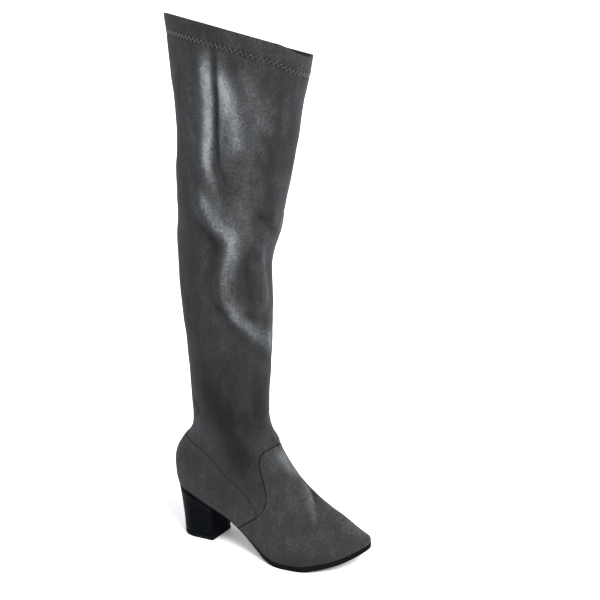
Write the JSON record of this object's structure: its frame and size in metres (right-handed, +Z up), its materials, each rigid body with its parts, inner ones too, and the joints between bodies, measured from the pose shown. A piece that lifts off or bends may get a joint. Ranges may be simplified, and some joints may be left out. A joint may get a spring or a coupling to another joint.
{
  "type": "thigh high boot",
  "caption": "Over-the-knee stretch boot for the right foot, pointed toe, block heel, thin sole, inner ankle zip.",
  "frame": {"origin": "centre of the heel tip's flat underside, on the floor", "axes": "+X towards the toe, +Y towards the inner side of the foot, +Z up the shaft"},
  "size_m": [0.2501, 0.1251, 0.6059],
  "materials": {
    "suede": "grey stretch faux suede, short nap, matt with a soft sheen",
    "lining": "black knitted lining and padded sock",
    "sole": "black rubber, satin",
    "heel": "black covered heel, satin",
    "zip": "dark woven tape and nylon coil",
    "metal": "dark enamelled metal, semi gloss"
  },
  "bodies": {
    "boot": {"upper": "suede", "vamp": "suede", "counter": "suede", "hem": "suede", "insole": "lining", "outsole": "sole", "heel_block": "heel", "heel_tip": "sole", "zip_tape": "zip", "zip_coil": "zip", "zip_slider": "metal"},
    "pull_tab": {"zip_pull": "metal"}
  },
  "joints": [
    {"name": "pull_tab_hinge", "type": "hinge", "parent": "boot", "child": "pull_tab", "pos_m": [0.07456, 0.03831, 0.21989], "axis": [0.9284, -0.3717, 0], "range_deg": [0, 160]}
  ]
}
